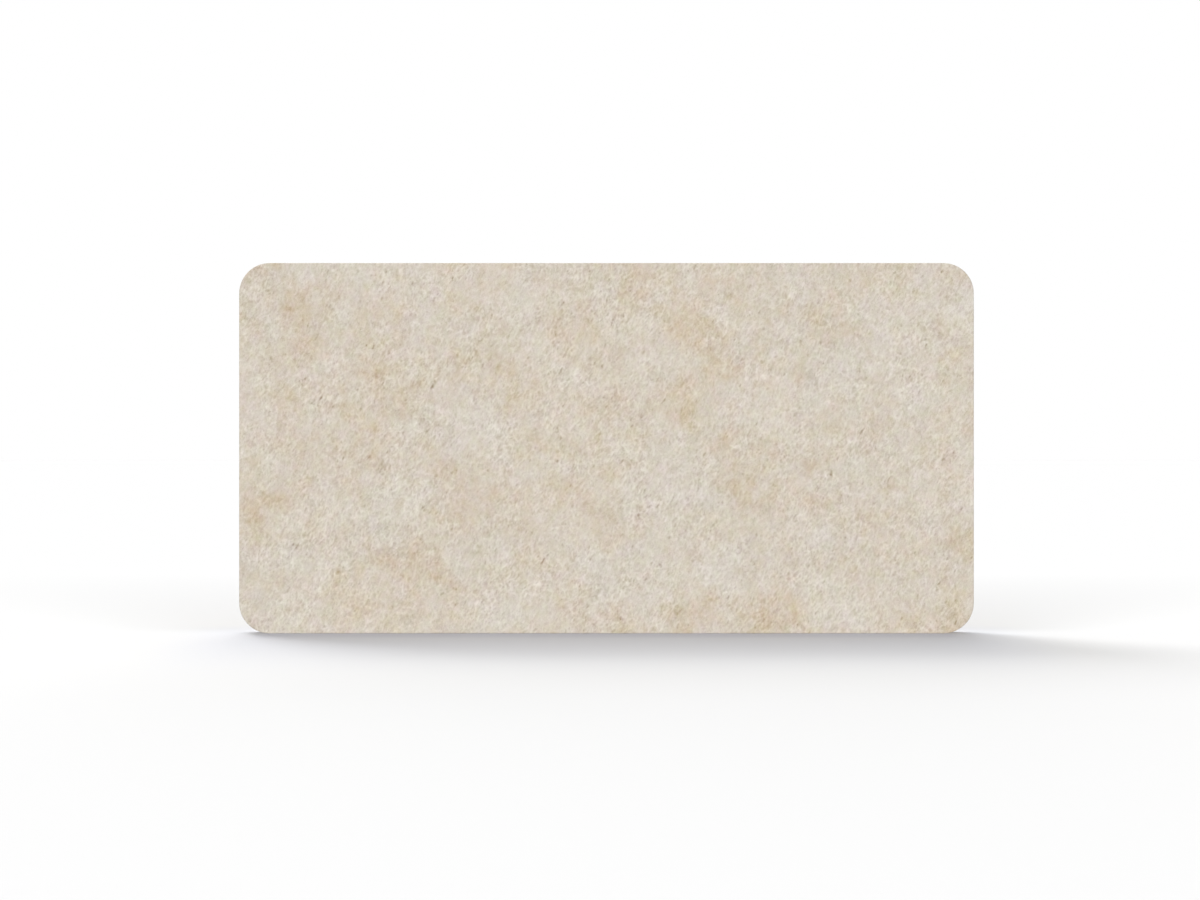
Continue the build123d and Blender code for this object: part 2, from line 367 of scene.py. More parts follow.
def bridge(bm, loops):
    """Joins closed loops of equally many points with faces, triangles where two points meet."""
    for first, second in zip(loops, loops[1:]):
        for i in range(len(first)):
            j = (i + 1) % len(first)
            if (first[i].co - first[j].co).length > weld:
                bm.faces.new((first[i], first[j], second[j], second[i]))
            elif (second[i].co - second[j].co).length > weld:
                bm.faces.new((first[i], second[j], second[i]))


def turn_over(piece):
    """Mirrors a piece of the front to the back, with its faces still outwards."""
    for v in piece.data.vertices:
        v.co.y = -v.co.y
    piece.data.flip_normals()


def ringed_panel(name, section, material, pitch, turns=14, shape=None):
    """A closed mesh from a section that starts and ends on flat faces. shape may move a point."""
    columns, rows = round(2 * straight / pitch), round((top - 2 * corner_radius) / pitch)
    bm = bmesh.new()
    bridge(bm, [[bm.verts.new(p) for p in ring(i, y, columns, rows, turns)] for i, y in section])
    for y in (section[0][1], section[-1][1]):
        xs = np.linspace(-straight, straight, columns + 1)
        zs = np.linspace(corner_radius, top - corner_radius, rows + 1)
        grid = [[bm.verts.new((x, y, z)) for x in xs] for z in zs]
        for low, high in zip(grid, grid[1:]):
            for i in range(columns):
                bm.faces.new((low[i], low[i + 1], high[i + 1], high[i]))
    bmesh.ops.remove_doubles(bm, verts=bm.verts, dist=weld)
    bmesh.ops.recalc_face_normals(bm, faces=bm.faces)
    if shape:
        bm.normal_update()
        moved = [shape(v.co, v.normal) for v in bm.verts]
        for v, place in zip(bm.verts, moved):
            v.co = place
    return made(name, bm, material)


print("rings have", len(ring(0, 0, 222, 102, 14)), "points")

# %% [markdown]
# ## How the foam swells the felt
#
# The felt is held down all round by the arris and pressed outwards by the foam, so the face swells by a
# hair. A cloth simulation finds that shape: a coarse sheet, pinned round its edge, with a light pressure
# behind it. Only the swell is kept, as a table that the fine meshes read, so the outline stays sharp.

# %% Simulate the felt over the foam
swell_limit = 0.7 * MM
swell_fade = 20 * MM  # the swell falls to nothing over this width round the corners
half_wide, half_high = half_length - arris, top / 2 - arris
columns, rows = 74, 36


def press_felt(frames=20):
    """The swell of the felt at the points of a coarse grid, in metres."""
    bm = bmesh.new()
    bmesh.ops.create_grid(bm, x_segments=columns, y_segments=rows, size=1)
    for v in bm.verts:
        v.co = (v.co.x * half_wide, 0, v.co.y * half_high)
    sheet = made("pressed_felt", bm, felt_cloth)
    flat = np.array([v.co for v in sheet.data.vertices])
    edge = (np.abs(flat[:, 0]) > half_wide - weld) | (np.abs(flat[:, 2]) > half_high - weld)
    pins = sheet.vertex_groups.new(name="pins")
    pins.add([int(i) for i in np.flatnonzero(edge)], 1.0, "REPLACE")
    cloth = sheet.modifiers.new("cloth", "CLOTH")
    cloth.settings.vertex_group_mass = "pins"
    cloth.settings.mass = 0.02
    cloth.settings.tension_stiffness = cloth.settings.compression_stiffness = 40
    cloth.settings.bending_stiffness = 5
    cloth.settings.use_pressure = True
    cloth.settings.uniform_pressure_force = 0.2
    cloth.settings.effector_weights.gravity = 0
    for frame_number in range(1, frames + 1):
        bpy.context.scene.frame_set(frame_number)
    evaluated = sheet.evaluated_get(bpy.context.evaluated_depsgraph_get())
    moved = np.array([v.co for v in evaluated.data.vertices])
    bpy.context.scene.frame_set(1)
    bpy.data.objects.remove(sheet)
    order = np.lexsort((flat[:, 0].round(6), flat[:, 2].round(6)))
    return np.abs(moved[order, 1]).reshape(rows + 1, columns + 1)


swell = press_felt()
print("simulated swell", round(1000 * swell.max(), 2), "mm")
swell = swell / max(swell.max(), 1e-9)
swell = swell * swell_limit


def swell_at(x, z):
    """The swell at a place on the face, fading out towards the rounded outline."""
    u = (x / half_wide + 1) / 2 * (swell.shape[1] - 1)
    v = ((z - top / 2) / half_high + 1) / 2 * (swell.shape[0] - 1)
    u, v = min(max(u, 0), swell.shape[1] - 1.001), min(max(v, 0), swell.shape[0] - 1.001)
    i, j = int(u), int(v)
    low = swell[j][i] + (swell[j][i + 1] - swell[j][i]) * (u - i)
    high = swell[j + 1][i] + (swell[j + 1][i + 1] - swell[j + 1][i]) * (u - i)
    over = Vector((max(abs(x) - straight, 0), max(abs(z - top / 2) - (top / 2 - corner_radius), 0)))
    return (low + (high - low) * (v - j)) * min(1, (corner_radius - over.length) / swell_fade)


print("swell table", swell.shape)

# %% [markdown]
# ## The two felt covers
#
# Each cover is a shallow tray of 2 mm felt. Its face rolls over the arris, runs back 6 mm along the rim
# and turns into the seam. Along the bottom there is no seam: the felt runs 2 mm further and turns up
# under the frame. Felt isn't a perfect sheet, so its surface also wanders by a tenth of a millimetre.

# %% Make the covers
face_insets = [50, 44, 38, 32, 26, 20, 15, 11, 8, 5.5]
seam_plane = seam + slack
nick = 0.2 * MM  # the blunted corners of a cut edge of felt
outer = [(i * MM, front) for i in face_insets] + arc(arris, front + arris, arris, -90, -180, 7)
outer += arc(seam_roll, -seam_plane - seam_roll, seam_roll, 180, 90, 4)
inner = [(felt - nick, -seam_plane), (felt, -seam_plane - nick)]
inner += arc(arris, front + arris, arris - felt, 180, 270, 4)
inner += [(i * MM, front + felt) for i in face_insets[::-1]]
cover_section = outer + inner

uneven = 0.12 * MM
seam_side = -seam - 2 * MM  # the felt nearer to the seam than this runs on along the bottom
foot_height = 4 * MM
run_on = seam - strip_edge - 2 * slack
run_in = 1 * MM  # how soon it starts to run on
run_out = 6 * MM  # and how far it takes to stop beside a corner


def wander(point, seed):
    """The felt's own unevenness, from about -1 to 1."""
    shifted = point + Vector((seed, 0, 0))
    return noise.noise(shifted * 75) + 0.5 * noise.noise(shifted * 150)


def cover_shape(side):
    """Moves a point of the cover for its swell, its unevenness and the turn-up at the bottom."""

    def shape(place, normal):
        x, y, z = place
        if abs(normal.y) > 0.5 and y < seam_side:
            y -= swell_at(x, z)
        if normal.y < -0.5 and y < front + felt / 2:
            y -= uneven * wander(place, side)
        if abs(x) < straight and z < foot_height and y > seam_side:
            reach = min(1, (straight - abs(x)) / run_out)
            y += run_on * reach * min(1, (y - seam_side) / run_in)
        return Vector((x, y, z))

    return shape


def make_cover(name, side, node):
    """A cover for the front, side 1, or turned over for the back, side -1."""
    piece = ringed_panel(name, cover_section, felt_cloth, 5 * MM, shape=cover_shape(side))
    if side < 0:
        turn_over(piece)
    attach(piece, "panel")
    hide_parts(node)
    print(name, len(piece.data.polygons), "faces")
    return piece


front_cover = make_cover("front_cover", 1, "front_felt")
back_cover = make_cover("back_cover", -1, "back_felt")

# %% [markdown]
# ## Trees that grow a piece along a path
#
# The rim band, the fleece and the stitches all follow the same path: up one end, over the top and down
# the other. That is a rule, so Geometry Nodes make them. The path is a curve with square corners, and
# the tree rounds them, so one curve serves every layer with its own radius.


# %% Helpers for geometry trees
def geometry_tree(name, inputs):
    """An empty tree with a geometry input and named number inputs, and a wire for each."""
    tree = bpy.data.node_groups.new(name, "GeometryNodeTree")
    face = tree.interface
    face.new_socket("Geometry", in_out="OUTPUT", socket_type="NodeSocketGeometry")
    face.new_socket("Geometry", in_out="INPUT", socket_type="NodeSocketGeometry")
    for label, value in inputs.items():
        kind = "NodeSocketInt" if isinstance(value, int) else "NodeSocketFloat"
        face.new_socket(label, in_out="INPUT", socket_type=kind).default_value = value
    source = tree.nodes.new("NodeGroupInput")
    return tree, {label: Wire(tree, source.outputs[label]) for label in ["Geometry", *inputs]}


def close_tree(wire, material):
    """Ends a tree as a real mesh with its material."""
    wire = wire.add("GeometryNodeRealizeInstances", {}, {"Geometry": wire})
    wire = wire.add("GeometryNodeSetMaterial", {}, {"Geometry": wire, "Material": material})
    out = wire.tree.nodes.new("NodeGroupOutput")
    wire.tree.links.new(wire.socket, out.inputs[0])


def grow(name, tree, source, values, material):
    """Runs a tree on a source object with its inputs set, and keeps the result as a plain mesh."""
    modifier = source.modifiers.new(name, "NODES")
    modifier.node_group = tree
    for item in tree.interface.items_tree:
        if item.in_out == "INPUT" and item.name in values:
            modifier[item.identifier] = values[item.name]
    evaluated = source.evaluated_get(bpy.context.evaluated_depsgraph_get())
    mesh = bpy.data.meshes.new_from_object(evaluated)
    source.modifiers.remove(modifier)
    mesh.name = name
    piece = add_mesh(name, mesh, material)
    print(name, len(mesh.polygons), "faces")
    return piece


def path_curve(name, points):
    """A curve of straight runs through points."""
    data = bpy.data.curves.new(name, "CURVE")
    data.dimensions = "3D"
    spline = data.splines.new("POLY")
    spline.points.add(len(points) - 1)
    for spot, place in zip(spline.points, points):
        spot.co = (*place, 1)
    return placed(name, data)


def rim_path(inset, y=0.0, end=straight):
    """The square-cornered path of a layer round the rim, drawn in by an inset."""
    side, low, high = half_length - inset, inset, top - inset
    corners = [(-end, low), (-side, low), (-side, high), (side, high), (side, low), (end, low)]
    return path_curve("rim_path", [(x, y, z) for x, z in corners])


print("tree helpers ready")

# %% [markdown]
# ## The rim band and the fleece under it
#
# The band is one strip of felt, 28 mm wide, sewn between the covers. Its long edges roll into the
# seams. The tree sweeps a rounded section along the path and then lets the felt wander a little. The
# same tree with other sizes makes the softer fleece wrap between the band and the timber.

# %% Sweep the band and the fleece
sizes = {"Corner Radius": 0.05, "Width": 0.028, "Thickness": 0.002, "Edge Roll": 0.001, "Uneven": 0.0001}
band_tree, wires = geometry_tree("padded_band", sizes)
path = wires["Geometry"]
sockets = {"Curve": path, "Count": 24, "Radius": wires["Corner Radius"], "Limit Radius": True}
path = path.add("GeometryNodeFilletCurve", {"mode": "POLY"}, sockets)
path = path.add("GeometryNodeResampleCurve", {"mode": "LENGTH"}, {"Curve": path, "Length": 0.004})
sockets = {"Width": wires["Width"], "Height": wires["Thickness"]}
section = path.add("GeometryNodeCurvePrimitiveQuadrilateral", {}, sockets)
sockets = {"Curve": section, "Count": 4, "Radius": wires["Edge Roll"], "Limit Radius": True}
section = path.add("GeometryNodeFilletCurve", {"mode": "POLY"}, sockets)
section = path.add("GeometryNodeResampleCurve", {"mode": "LENGTH"}, {"Curve": section, "Length": 0.0012})
sockets = {"Curve": path, "Profile Curve": section, "Fill Caps": True}
band = path.add("GeometryNodeCurveToMesh", {}, sockets)
rise = path.add("GeometryNodeInputPosition").noise(90.0, 1.0, 0.5, 2.0) * wires["Uneven"]
offset = path.add("GeometryNodeInputNormal").scaled(rise)
band = path.add("GeometryNodeSetPosition", {}, {"Geometry": band, "Offset": offset})
close_tree(band, felt_cloth)


def sweep_band(name, inset, values, material):
    """A band whose outside lies at an inset from the screen's outline."""
    path = rim_path(inset + values["Thickness"] / 2)
    values["Corner Radius"] = corner_radius - inset - values["Thickness"] / 2
    piece = grow(name, band_tree, path, values, material)
    bpy.data.objects.remove(path)
    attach(piece, "panel")
    return piece


values = {"Width": 2 * (seam - slack), "Thickness": felt, "Edge Roll": seam_roll, "Uneven": 0.05 * MM}
rim_band = sweep_band("rim_band", 0, values, felt_cloth)
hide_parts("rim_felt_band")

# %% [markdown]
# ## Padding: fleece, foam and wool
#
# None of the padding shows, but it is what the screen is for, so each piece has its own form. The fleece
# is a lofty wrap. The foam sheets are cut with soft edges. The wool slabs are batts pushed into their
# bays, with uneven faces and round edges.

# %% Make the fleece and the foam
def fibre_look(name, pale, dark, scale, depth, **constants):
    """A lofty mat: fine tangled fibres over slow lumps."""
    material, shader, here = new_material(name, **constants)
    tangle = here.vector("ADD", here, here.vector("MULTIPLY", here, (0.3, 0.2, 0.4)))
    fine = tangle.noise(scale, 4.0, 0.65, 1.0)
    lumps = here.noise(scale / 14, 2.0, 0.5, 2.0)
    plug(shader, (fine * 0.3 + lumps * 0.2 + 0.5).mix(pale, dark), fine + lumps, depth)
    return material


pale, dark = (0.9, 0.9, 0.88, 1), (0.74, 0.74, 0.72, 1)
fleece_mat = fibre_look("white_fleece", pale, dark, 700.0, 0.4 * MM, Roughness=0.95)
pale, dark = (0.5, 0.51, 0.49, 1), (0.3, 0.31, 0.29, 1)
wool_batt = fibre_look("grey_wool", pale, dark, 420.0, 0.8 * MM, Roughness=0.95)

foam_sheet, shader, here = new_material("cream_foam", Roughness=0.9, Subsurface_Weight=0.1)
cells = here.add("ShaderNodeTexVoronoi", {"feature": "DISTANCE_TO_EDGE"}, {"Vector": here, "Scale": 1300.0})
walls = cells.step(0.02, 0.16)
# the cells' hollows are painted darker than their walls, a painted shade; the slow noise is the foam's own
# uneven tone
tone = (walls * 0.6 + here.noise(30.0) * 0.15 + 0.2).mix((0.6, 0.56, 0.46, 1), (0.82, 0.8, 0.74, 1))
plug(shader, tone, walls, 0.2 * MM)

values = {"Width": 2 * (seam - 0.4 * MM), "Thickness": 2.5 * MM, "Edge Roll": 1.1 * MM, "Uneven": 0.05 * MM}
rim_fleece = sweep_band("rim_fleece_wrap", felt + 0.2 * MM, values, fleece_mat)
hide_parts("rim_fleece")


def make_foam(name, side, node):
    """A foam sheet between a cover and the frame, side 1 for the front and -1 for the back."""
    low, high = front + felt + slack, -seam - slack
    soft = 1 * MM
    middle = felt + 0.5 * MM + soft
    insets = [50, 30, 12, 6]
    section = [(i * MM, low) for i in insets] + arc(middle, low + soft, soft, -90, -180, 3)
    section += arc(middle, high - soft, soft, 180, 90, 3) + [(i * MM, high) for i in insets[::-1]]

    def shape(place, normal):
        out = swell_at(place.x, place.z) if normal.y < -0.5 else 0
        return place - Vector((0, out, 0))

    piece = ringed_panel(name, section, foam_sheet, 10 * MM, 8, shape)
    if side < 0:
        turn_over(piece)
    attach(piece, "panel")
    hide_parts(node)
    print(name, len(piece.data.polygons), "faces")


make_foam("front_foam", 1, "front_foam_pad")
make_foam("back_foam", -1, "back_foam_pad")

# %% [markdown]
# A wool slab starts as a box of even quads. Every vertex is pulled to the surface of a rounded box, then
# pushed in or out by slow noise. Working this way needs no bevel and keeps the quads even.

# %% Make the wool slabs
def soft_slab(name, low, high, radius, pitch, material, lumps):
    """A rounded box of even quads, uneven by up to lumps."""
    low, high = Vector(low), Vector(high)
    size, middle = high - low, (low + high) / 2
    counts = [max(2, round(s / pitch)) for s in size]
    bm = bmesh.new()
    for axis in range(3):
        a, b = [i for i in range(3) if i != axis]
        for end in (-0.5, 0.5):
            grid = {}
            for i in range(counts[a] + 1):
                for j in range(counts[b] + 1):
                    p = [0, 0, 0]
                    p[axis], p[a], p[b] = end, i / counts[a] - 0.5, j / counts[b] - 0.5
                    grid[i, j] = bm.verts.new([s * q for s, q in zip(size, p)])
            for i in range(counts[a]):
                for j in range(counts[b]):
                    bm.faces.new((grid[i, j], grid[i + 1, j], grid[i + 1, j + 1], grid[i, j + 1]))
    bmesh.ops.remove_doubles(bm, verts=bm.verts, dist=weld)
    bmesh.ops.recalc_face_normals(bm, faces=bm.faces)
    core = size / 2 - Vector((radius,) * 3)
    for v in bm.verts:
        near = Vector([min(max(c, -k), k) for c, k in zip(v.co, core)])
        out = (v.co - near).normalized()
        rise = lumps * (noise.noise((v.co + middle) * 35) + 0.5 * noise.noise((v.co + middle) * 110) - 1)
        v.co = middle + near + out * (radius + rise)
    return made(name, bm, material)


for side in ("left", "centre", "right"):
    low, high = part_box(side + "_infill")
    batt = soft_slab(side + "_wool_slab", low, high, 4 * MM, 6 * MM, wool_batt, 0.5 * MM)
    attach(batt, "panel")
    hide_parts(side + "_infill")
    print(batt.name, len(batt.data.polygons), "faces")

# %% [markdown]
# ## The underside
#
# The front and back felt turn up under the frame and are stapled there. A strip of the same felt closes
# the opening, with a punched hole for each glide and each bracket screw. A filled outline is the natural
# way to make a punched sheet: the tree joins a rectangle and the circles, fills what lies between them,
# and pulls it up by the felt's thickness.

# %% Punch the closing strip
sizes = {"Length": 1.11, "Width": 0.024, "Thickness": 0.002, "Large Hole": 0.0085, "Small Hole": 0.0035}
strip_tree, wires = geometry_tree("punched_strip", sizes)
base = wires["Geometry"]
spots = base.add("GeometryNodeMeshToPoints", {}, {"Mesh": base})
large = spots.add("GeometryNodeInputNamedAttribute", {"data_type": "BOOLEAN"}, {"Name": "large"})
small = large.add("FunctionNodeBooleanMath", {"operation": "NOT"}, {0: large})
sockets = {"Width": wires["Length"], "Height": wires["Width"]}
outline = base.add("GeometryNodeCurvePrimitiveQuadrilateral", {}, sockets)
outline = base.add("GeometryNodeResampleCurve", {"mode": "LENGTH"}, {"Curve": outline, "Length": 0.006})
shapes = [outline]
for label, chosen in (("Large Hole", large), ("Small Hole", small)):
    sockets = {"Resolution": 40, "Radius": wires[label]}
    round_hole = base.add("GeometryNodeCurvePrimitiveCircle", {}, sockets)
    sockets = {"Points": spots, "Selection": chosen, "Instance": round_hole}
    holes = base.add("GeometryNodeInstanceOnPoints", {}, sockets)
    shapes.append(base.add("GeometryNodeRealizeInstances", {}, {"Geometry": holes}))
joined = base.add("GeometryNodeJoinGeometry", {}, {"Geometry": shapes[::-1]})
flat = base.add("GeometryNodeFillCurve", {"mode": "TRIANGLES"}, {"Curve": joined})
sockets = {"Mesh": flat, "Offset Scale": wires["Thickness"], "Individual": False}
raised = base.add("GeometryNodeExtrudeMesh", {"mode": "FACES"}, sockets)
under = base.add("GeometryNodeFlipFaces", {}, {"Mesh": flat})
whole = base.add("GeometryNodeJoinGeometry", {}, {"Geometry": [raised, under]})
whole = base.add("GeometryNodeMergeByDistance", {}, {"Geometry": whole, "Distance": weld})
close_tree(whole, felt_cloth)

glides = [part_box(side + "_glide_foot") for side in ("left", "right")]
glide_xs = [(low.x + high.x) / 2 for low, high in glides]
threads = [m for m in frame["record"]["mounts"] if m["name"].endswith("bracket_thread")]
screw_xs = sorted(m["pos_m"][0] for m in threads)
glide_hole = 8.5 * MM
screw_hole = 3.5 * MM

seeds = bpy.data.meshes.new("hole_centres")
seeds.from_pydata([(x, 0, 0) for x in glide_xs + screw_xs], [], [])
for_glide = [True] * len(glide_xs) + [False] * len(screw_xs)
seeds.attributes.new("large", "BOOLEAN", "POINT").data.foreach_set("value", for_glide)
source = placed("hole_centres", seeds)
values = {"Length": 2 * (straight - slack), "Width": 2 * (strip_edge - slack), "Thickness": felt}
values.update({"Large Hole": glide_hole, "Small Hole": screw_hole})
closing_strip = grow("closing_strip", strip_tree, source, values, felt_cloth)
bpy.data.objects.remove(source)
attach(closing_strip, "panel")
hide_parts("closing_felt_strip")

bevel = closing_strip.modifiers.new("soft edges", "BEVEL")
bevel.width, bevel.segments = 0.4 * MM, 3
bevel.limit_method, bevel.angle_limit = "ANGLE", math.radians(60)
bevel.harden_normals = True

# %% [markdown]
# The turned-in edge is the hidden end of each cover: it stands 3 mm up beside the frame and lies flat
# on the card strip, with a bite cut out where a glide passes. Its section is swept along X by hand,
# because only the free edge changes, and only near the glides.

# %% Turn the felt in under the frame
flap_end = 5 * MM
flap_bend = 1 * MM
flap_foot = felt + slack
flap_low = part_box("front_tack_strip")[1].z + 2 * slack
flap_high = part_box("bottom_rail")[0].z - 2 * slack
blunt = 0.3 * MM  # the free edge's own corners


def edge_at(x):
    """How far from the middle the flap's free edge lies."""
    off = min(abs(x - g) for g in glide_xs)
    return max(flap_end, math.sqrt(glide_hole**2 - off**2)) if off < glide_hole else flap_end


def flap_section(edge):
    """The flap's outline as (distance from the middle, height), for a free edge at a distance."""
    outside, inside = seam - slack, strip_edge + slack
    low, high = flap_low, flap_high
    points = [(outside, flap_foot), (outside, high - flap_bend)]
    for t in (0.5, 1.05, 1.57):
        points.append((outside - flap_bend * (1 - math.cos(t)), high - flap_bend * (1 - math.sin(t))))
    points += [(edge + blunt, high), (edge, high - blunt), (edge, low + blunt), (edge + blunt, low)]
    return points + [(strip_edge - nick, low), (inside, low - nick), (inside, flap_foot)]


def turned_in(name, side):
    """The flap of the front cover, side 1, or of the back cover, side -1."""
    stations = set(np.linspace(-straight + slack, straight - slack, 223))
    stations |= {g + d for g in glide_xs for d in np.linspace(-glide_hole, glide_hole, 41)}
    bm = bmesh.new()
    loops = []
    for x in sorted(stations):
        loops.append([bm.verts.new((x, -side * y, z)) for y, z in flap_section(edge_at(x))])
    bridge(bm, loops)
    bm.faces.new(loops[0])
    bm.faces.new(loops[-1])
    bmesh.ops.recalc_face_normals(bm, faces=bm.faces)
    piece = made(name, bm, felt_cloth)
    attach(piece, "panel")
    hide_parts("front_felt" if side > 0 else "back_felt")
    print(name, len(piece.data.polygons), "faces")


turned_in("front_turned_in_edge", 1)
turned_in("back_turned_in_edge", -1)

# %% [markdown]
# ## Thread
#
# Both rim seams are sewn from inside, so only short bars of thread show in the groove, one for each
# stitch. The closing strip is slip-stitched to the covers the same way, a little wider apart. A tree
# spaces points along the path and puts one small bent bar on each, turned to face outwards.

# %% Sew the seams
sizes = {"Corner Radius": 0.05, "Stitch Length": 0.0035, "Bar": 0.001, "Dip": 0.0003}
sizes["Thread Radius"] = 0.0002
stitch_tree, wires = geometry_tree("sewn_seam", sizes)
path = wires["Geometry"]
sockets = {"Curve": path, "Count": 24, "Radius": wires["Corner Radius"], "Limit Radius": True}
path = path.add("GeometryNodeFilletCurve", {"mode": "POLY"}, sockets)
sockets = {"Curve": path, "Length": wires["Stitch Length"]}
places = path.add("GeometryNodeCurveToPoints", {"mode": "LENGTH"}, sockets)
sockets = {"Vector": places.output("Tangent")}
facing = path.add("FunctionNodeAlignRotationToVector", {"axis": "X", "pivot_axis": "Y"}, sockets)


def point(y, z):
    """A place in the stitch's own frame, in which Y crosses the seam and Z points out of the felt."""
    return path.add("ShaderNodeCombineXYZ", {}, {"Y": y, "Z": z})


bar, dip = wires["Bar"], wires["Dip"]
sockets = {"Start": point(bar * -1, dip * -1), "Middle": point(0.0, dip), "End": point(bar, dip * -1)}
bow = path.add("GeometryNodeCurveQuadraticBezier", {}, {"Resolution": 6, **sockets})
sockets = {"Resolution": 6, "Radius": wires["Thread Radius"]}
strand = path.add("GeometryNodeCurvePrimitiveCircle", {}, sockets)
sockets = {"Curve": bow, "Profile Curve": strand, "Fill Caps": True}
stitch = path.add("GeometryNodeCurveToMesh", {}, sockets)
sockets = {"Points": places, "Instance": stitch, "Rotation": facing}
close_tree(path.add("GeometryNodeInstanceOnPoints", {}, sockets), None)

thread_mat, shader, here = new_material("sand_thread", Roughness=0.6, Sheen_Weight=0.1)
twist = here.add("ShaderNodeMapping", {}, {"Vector": here, "Rotation": (0.6, 0.3, 0.7)}).noise(1400.0, 1.0)
plug(shader, (twist * 0.4 + 0.5).mix((0.66, 0.58, 0.45, 1), (0.52, 0.43, 0.31, 1)), twist, 0.05 * MM)


def sew(name, path, values):
    """Stitches along a path, riding on the panel."""
    path.data.materials.append(thread_mat)
    piece = grow(name, stitch_tree, path, values, thread_mat)
    bpy.data.objects.remove(path)
    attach(piece, "panel")


depth = 0.35 * MM  # of the thread below the felt's surface
seam_end = straight - 4 * MM
values = {"Stitch Length": 3.5 * MM, "Bar": 0.9 * MM, "Dip": 0.2 * MM}
values["Corner Radius"] = corner_radius - depth
sew("front_seam_stitches", rim_path(depth, -seam), values)
sew("back_seam_stitches", rim_path(depth, seam), values)
for name, y in (("front_closing_stitches", -strip_edge), ("back_closing_stitches", strip_edge)):
    line = path_curve(name, [(seam_end, y, depth), (-seam_end, y, depth)])
    sew(name, line, {"Stitch Length": 6 * MM, "Bar": 1 * MM, "Dip": 0.15 * MM})

# %% [markdown]
# ## Loose fibres
#
# Close up, felt is hairy. Several thousand fibres are scattered over each face, every one with its own
# length, turn and shade. Only the outside of the felt gets any, and none stand near the floor, where the
# panel would crush them. So the tree first chooses the faces that look away from the panel's core, and
# puts random points on them. Each point keeps its felt's direction and a random number for its shade.

# %% Choose where the fibres stand
sizes = {"Density": 6000.0, "Longest": 0.012, "Lift": 0.0005, "Curl": 0.004, "Radius": 0.00006, "Seed": 1}
fuzz_tree, wires = geometry_tree("loose_fibres", sizes)
skin = wires["Geometry"]
floor_gap = 6 * MM
outer_face = 1 * MM  # an outer face looks at least this far away from the core


def drawn(low, high, seed):
    """A random number for each point."""
    sockets = {2: low, 3: high, "Seed": seed}
    return skin.add("FunctionNodeRandomValue", {"data_type": "FLOAT"}, sockets, out=1)


place = skin.add("GeometryNodeInputPosition")
core = skin.vector("MINIMUM", place, (straight, 0, top - corner_radius))
core = skin.vector("MAXIMUM", core, (-straight, 0, corner_radius))
facing = skin.add("GeometryNodeInputNormal")
outward = skin.vector("DOT_PRODUCT", facing, skin.vector("SUBTRACT", place, core)).output("Value")
height = skin.add("ShaderNodeSeparateXYZ", {}, {"Vector": place}, out="Z")
chosen = outward.maths("GREATER_THAN", outward, outer_face)
chosen = chosen * height.maths("GREATER_THAN", height, floor_gap)
sockets = {"Mesh": skin, "Selection": chosen, "Density": wires["Density"], "Seed": wires["Seed"]}
scattered = skin.add("GeometryNodeDistributePointsOnFaces", {}, sockets)
sockets = {"Geometry": scattered, "Name": "out_of_felt", "Value": scattered.output("Normal")}
places = skin.add("GeometryNodeStoreNamedAttribute", {"data_type": "FLOAT_VECTOR"}, sockets)
sockets = {"Geometry": places, "Name": "shade", "Value": drawn(0.0, 1.0, 5)}
places = skin.add("GeometryNodeStoreNamedAttribute", {}, sockets)
print("fibres stand", round(floor_gap / MM), "mm and more above the floor")

# %% [markdown]
# Every point then gets one straight strand, turned at random. Noise bends it along the felt, and where
# the felt curves away beneath it, it is brought back to the nearest face. Its middle is lifted and its
# ends are pushed in. A three-sided section is enough for something so thin, so that each fibre has only
# a few dozen triangles.

# %% Bend and lift the fibres
sockets = {"Axis": (0, 0, 1), "Angle": drawn(0.0, 2 * math.pi, 6)}
spin = skin.add("FunctionNodeAxisAngleToRotation", {}, sockets)
sockets = {"Rotation": scattered.output("Rotation"), "Rotate By": spin}
turn = skin.add("FunctionNodeRotateRotation", {"rotation_space": "LOCAL"}, sockets)
length = drawn(0.3, 1.0, 7) * wires["Longest"]
size = skin.add("ShaderNodeCombineXYZ", {}, {0: length, 1: length, 2: length})
strand = skin.add("GeometryNodeCurvePrimitiveLine", {}, {"Start": (-0.5, 0, 0), "End": (0.5, 0, 0)})
strand = skin.add("GeometryNodeResampleCurve", {"mode": "COUNT"}, {"Curve": strand, "Count": 7})
sockets = {"Points": places, "Instance": strand, "Rotation": turn, "Scale": size}
strands = skin.add("GeometryNodeInstanceOnPoints", {}, sockets)
strands = skin.add("GeometryNodeRealizeInstances", {}, {"Geometry": strands})

sockets = {"Vector": place, "W": 3.0, "Scale": 140.0, "Detail": 1.0}
swirl = skin.add("ShaderNodeTexNoise", {"noise_dimensions": "4D"}, sockets, out="Color")
swirl = skin.vector("SUBTRACT", swirl, (0.5, 0.5, 0.5)).scaled(wires["Curl"])
sockets = {"Name": "out_of_felt"}
away = skin.add("GeometryNodeInputNamedAttribute", {"data_type": "FLOAT_VECTOR"}, sockets)
swirl = skin.vector("SUBTRACT", swirl, skin.vector("PROJECT", swirl, away))
strands = skin.add("GeometryNodeSetPosition", {}, {"Geometry": strands, "Offset": swirl})
sockets = {"Target": skin, "Source Position": place}
nearest = skin.add("GeometryNodeProximity", {"target_element": "FACES"}, sockets)
part = skin.add("GeometryNodeSplineParameter")
rise = away.scaled((part * (1 - part) * 4 - 0.15) * wires["Lift"])
sockets = {"Geometry": strands, "Position": nearest, "Offset": rise}
strands = skin.add("GeometryNodeSetPosition", {}, sockets)
thin = skin.add("GeometryNodeCurvePrimitiveCircle", {}, {"Resolution": 3, "Radius": wires["Radius"]})
sockets = {"Curve": strands, "Profile Curve": thin, "Fill Caps": True}
close_tree(skin.add("GeometryNodeCurveToMesh", {}, sockets), None)
print("fibre tree", len(fuzz_tree.nodes), "nodes")

# %% [markdown]
# The tree runs once on a copy of each outer piece of felt. The random number that each fibre kept makes
# most of them pale and a few of them brown.

